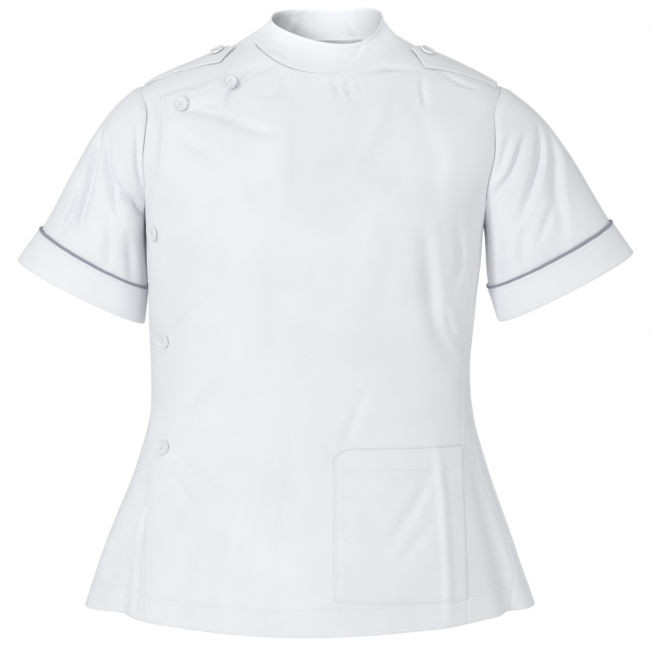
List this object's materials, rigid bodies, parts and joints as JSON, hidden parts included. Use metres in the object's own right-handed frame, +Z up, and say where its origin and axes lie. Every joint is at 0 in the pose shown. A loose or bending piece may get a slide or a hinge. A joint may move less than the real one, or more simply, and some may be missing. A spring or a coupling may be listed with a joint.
{
  "type": "short-sleeved nurse jacket",
  "caption": "Short-sleeved nurse's tunic jacket with a stand collar, side-buttoned wrap-over front, shoulder straps, piped turned-up cuffs, a patch pocket and a flared skirt.",
  "frame": {"origin": "middle of the neck opening, level with and midway between the two points where the collar crosses the shoulder seams", "axes": "+Z up, -Y the way the front of the jacket faces, +X towards the wearer's left"},
  "size_m": [0.7397, 0.3214, 0.7257],
  "materials": {
    "cloth": "white polyester-cotton twill",
    "piping": "slate blue corded piping",
    "button": "white moulded, soft sheen"
  },
  "bodies": {
    "root": {"front_outer": "cloth", "front_under": "cloth", "side_panel": "cloth", "back": "cloth", "collar": "cloth", "pocket": "cloth", "sleeve_left": "cloth", "sleeve_right": "cloth", "cuff_left": "cloth", "cuff_right": "cloth", "strap_left": "cloth", "strap_right": "cloth", "piping_left": "piping", "piping_right": "piping", "button_1": "button", "button_2": "button", "button_3": "button", "button_4": "button", "button_5": "button", "strap_button_left": "button", "strap_button_right": "button"}
  },
  "joints": []
}
